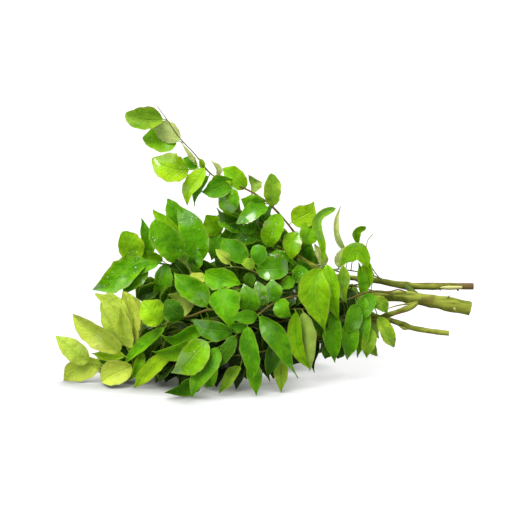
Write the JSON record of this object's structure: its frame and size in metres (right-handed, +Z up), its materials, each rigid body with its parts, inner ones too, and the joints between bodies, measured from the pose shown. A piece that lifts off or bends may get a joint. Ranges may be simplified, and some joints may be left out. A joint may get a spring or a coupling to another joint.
{
  "type": "bunch of cut leafy branches",
  "caption": "Bunch of fresh cut branches lying on its own leaves, woody cut ends to one side and compound leaves with glossy pointed leaflets fanning out to the other.",
  "frame": {"origin": "middle of the bunch's bounding box, at the surface it lies on", "axes": "+X along the stems towards their cut ends, +Z up, -Y the side seen from the front"},
  "size_m": [0.355, 0.1768, 0.2291],
  "materials": {
    "leaf_bright": "waxy fresh leaf, soft sheen",
    "leaf_dark": "waxy fresh leaf, soft sheen",
    "leaf_deep": "waxy fresh leaf, soft sheen",
    "leaf_lime": "waxy fresh leaf, soft sheen",
    "leaf_mid": "waxy fresh leaf, soft sheen",
    "leaf_olive": "waxy fresh leaf, soft sheen",
    "leaf_pale": "waxy fresh leaf, soft sheen",
    "wood": "fresh grey-green bark, slightly rough"
  },
  "bodies": {
    "root": {"stem_upper": "wood", "stem_main": "wood", "stem_lower": "wood", "side_branch": "wood", "second_branch": "wood", "top_leaf": "leaf_olive", "second_leaf": "leaf_mid", "heart_leaf": "leaf_deep", "left_leaf": "leaf_bright", "pale_leaf": "leaf_pale", "front_leaf": "leaf_deep", "front_high_leaf": "leaf_mid", "right_leaf": "leaf_bright", "skirt_leaf": "leaf_bright", "arched_leaf": "leaf_bright", "low_leaf": "leaf_lime", "under_leaf": "leaf_olive", "inner_high": "leaf_dark", "inner_core": "leaf_dark", "inner_front": "leaf_dark", "inner_low": "leaf_dark", "inner_left": "leaf_mid", "inner_right": "leaf_dark", "skirt_right": "leaf_dark", "back_right": "leaf_mid", "back_skirt": "leaf_mid", "back_crown": "leaf_mid", "back_upper": "leaf_bright", "back_high_left": "leaf_bright", "back_middle": "leaf_mid", "back_lower": "leaf_mid", "back_left": "leaf_bright", "inner_under": "leaf_dark", "back_floor": "leaf_pale"}
  },
  "joints": []
}
